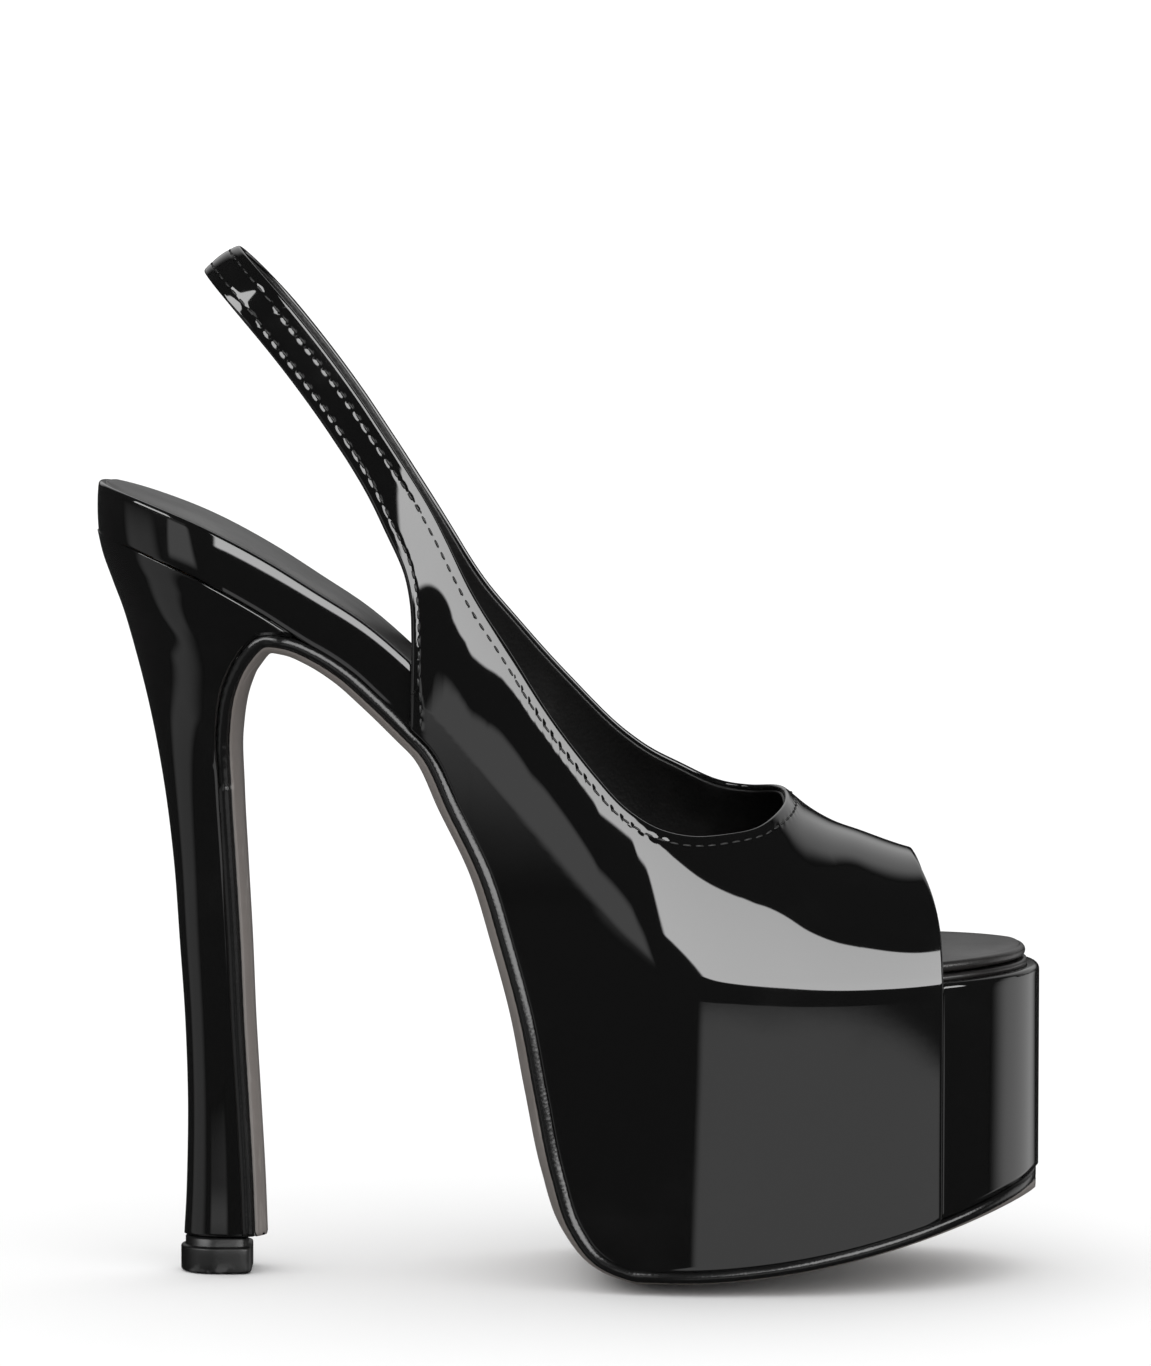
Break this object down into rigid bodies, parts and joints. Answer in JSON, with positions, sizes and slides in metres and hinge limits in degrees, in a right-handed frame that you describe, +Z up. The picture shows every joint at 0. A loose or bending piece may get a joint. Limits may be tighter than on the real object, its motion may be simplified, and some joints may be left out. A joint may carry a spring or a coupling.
{
  "type": "high heel platform slingback shoe",
  "caption": "Open-toed platform slingback for a right foot: patent upper, covered platform, slender high heel and an elastic strap that loops behind the ankle.",
  "frame": {"origin": "middle of the heel tip's face on the floor", "axes": "+X from heel to toe, +Y towards the inner side of the foot, +Z up"},
  "size_m": [0.2052, 0.0791, 0.2235],
  "materials": {
    "patent": "black patent leather, mirror gloss",
    "lining": "smooth dark lining leather",
    "sock": "satin dark leather sock over foam",
    "elastic": "woven elastic, hidden in the strap",
    "foam": "soft sock foam, hidden",
    "board": "pressed fibreboard, hidden",
    "core": "light cork filler, hidden",
    "sole": "grey-taupe sole leather with black edges",
    "heel_plastic": "moulded heel plastic, hidden",
    "tip_rubber": "matte black tread plastic",
    "steel": "plain steel, hidden"
  },
  "bodies": {
    "shoe": {"upper_outer": "patent", "upper_lining": "lining", "insole_sock": "sock", "sock_foam_pad": "foam", "insole_board": "board", "seat_filler": "core", "steel_shank": "steel", "shank_rivet_rear": "steel", "shank_rivet_front": "steel", "seat_band": "patent", "platform_core": "core", "toe_platform_cover": "patent", "outsole": "sole", "heel_core": "heel_plastic", "heel_cover": "patent", "heel_tube": "steel", "heel_screw": "steel", "heel_nail_1": "steel", "heel_nail_2": "steel", "heel_nail_3": "steel", "heel_nail_4": "steel", "top_piece": "tip_rubber", "top_piece_pin": "steel"},
    "sling_strap": {"strap_outer": "patent", "strap_elastic": "elastic", "strap_lining": "lining"}
  },
  "joints": [
    {"name": "strap_swing", "type": "hinge", "parent": "shoe", "child": "sling_strap", "pos_m": [0.04573, 0, 0.15752], "axis": [0, 1, 0], "range_deg": [-38, 35], "stiffness_Nm_per_rad": 0.05}
  ]
}
